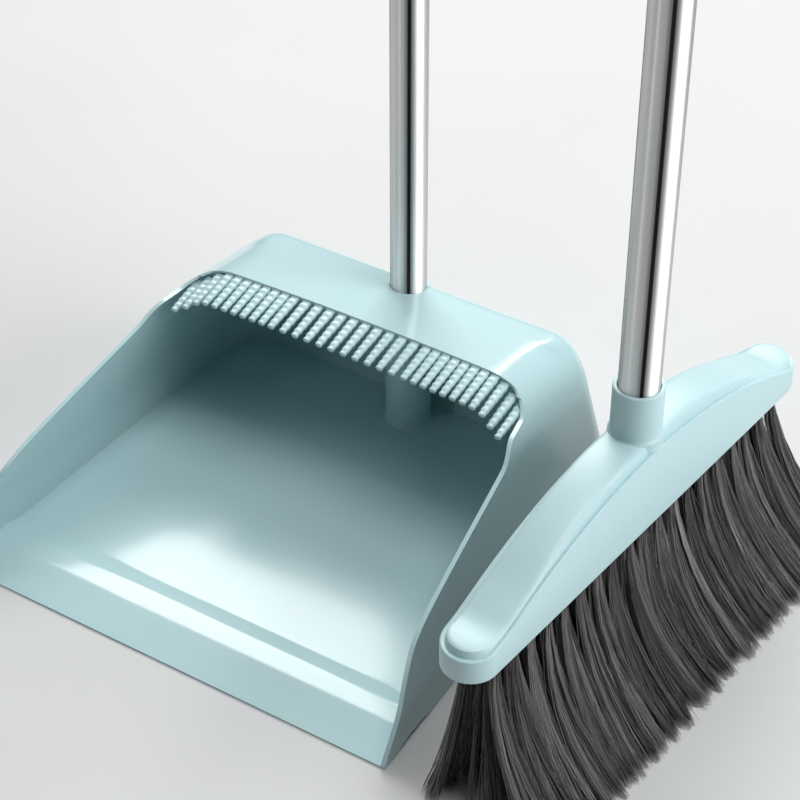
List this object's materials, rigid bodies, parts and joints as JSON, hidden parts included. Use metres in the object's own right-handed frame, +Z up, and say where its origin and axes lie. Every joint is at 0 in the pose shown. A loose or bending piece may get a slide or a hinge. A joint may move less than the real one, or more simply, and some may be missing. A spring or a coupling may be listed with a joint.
{
  "type": "dust pan and brush set",
  "caption": "Upright dust pan with a hooded scoop, hair comb and tall steel pole, and an upright soft broom on its own pole standing beside it.",
  "frame": {"origin": "on the ground under the dust pan, on the axis of the pan's pole, on the flat underside", "axes": "+X to the pan's right side where the broom stands, +Y to the pan's back, +Z up along both poles; the mouth faces -Y"},
  "size_m": [0.4018, 0.2971, 0.853],
  "materials": {
    "pan_plastic": "glossy moulded polypropylene",
    "comb_plastic": "glossy moulded polypropylene",
    "head_plastic": "satin to glossy moulded polypropylene",
    "plate_plastic": "plain moulded polypropylene",
    "grip_plastic": "fine-textured moulded sleeve",
    "cap_plastic": "glossy moulded polypropylene",
    "insert_plastic": "plain moulded plastic",
    "tube_steel": "polished stainless steel tube",
    "screw_steel": "zinc-plated",
    "anchor_wire": "flat wire",
    "bristle": "soft flagged synthetic bristle"
  },
  "bodies": {
    "pan": {"pan_body": "pan_plastic", "hair_comb": "comb_plastic"},
    "pan_pole": {"pan_pole_plug": "insert_plastic", "pan_pole_lower": "tube_steel", "pan_coupler_socket": "insert_plastic"},
    "pan_pole_top": {"pan_coupler_stud": "insert_plastic", "pan_pole_upper": "tube_steel", "pan_grip": "grip_plastic", "pan_hang_cap": "cap_plastic"},
    "broom": {"broom_head": "head_plastic", "tuft_plate": "plate_plastic", "plate_screws": "screw_steel", "tuft_anchors": "anchor_wire", "tufts_left": "bristle", "tufts_middle": "bristle", "tufts_right": "bristle"},
    "broom_pole": {"broom_pole_plug": "insert_plastic", "broom_pole_lower": "tube_steel", "broom_coupler_socket": "insert_plastic"},
    "broom_pole_top": {"broom_coupler_stud": "insert_plastic", "broom_pole_upper": "tube_steel", "broom_grip": "grip_plastic", "broom_hang_cap": "cap_plastic"}
  },
  "joints": [
    {"name": "pan_pole_screw", "type": "hinge", "parent": "pan", "child": "pan_pole", "pos_m": [0, 0, 0.034], "axis": [0, 0, 1], "range_deg": [0, 1080]},
    {"name": "pan_top_screw", "type": "hinge", "parent": "pan_pole", "child": "pan_pole_top", "pos_m": [0, 0, 0.42], "axis": [0, 0, 1], "range_deg": [0, 1080]},
    {"name": "broom_lift", "type": "slide", "parent": "pan", "child": "broom", "axis": [0, 0, 1], "range_m": [0, 0.3]},
    {"name": "broom_pole_screw", "type": "hinge", "parent": "broom", "child": "broom_pole", "pos_m": [0.196, -0.103, 0.15], "axis": [0, 0, 1], "range_deg": [0, 1080]},
    {"name": "broom_top_screw", "type": "hinge", "parent": "broom_pole", "child": "broom_pole_top", "pos_m": [0.196, -0.103, 0.5], "axis": [0, 0, 1], "range_deg": [0, 1080]}
  ]
}
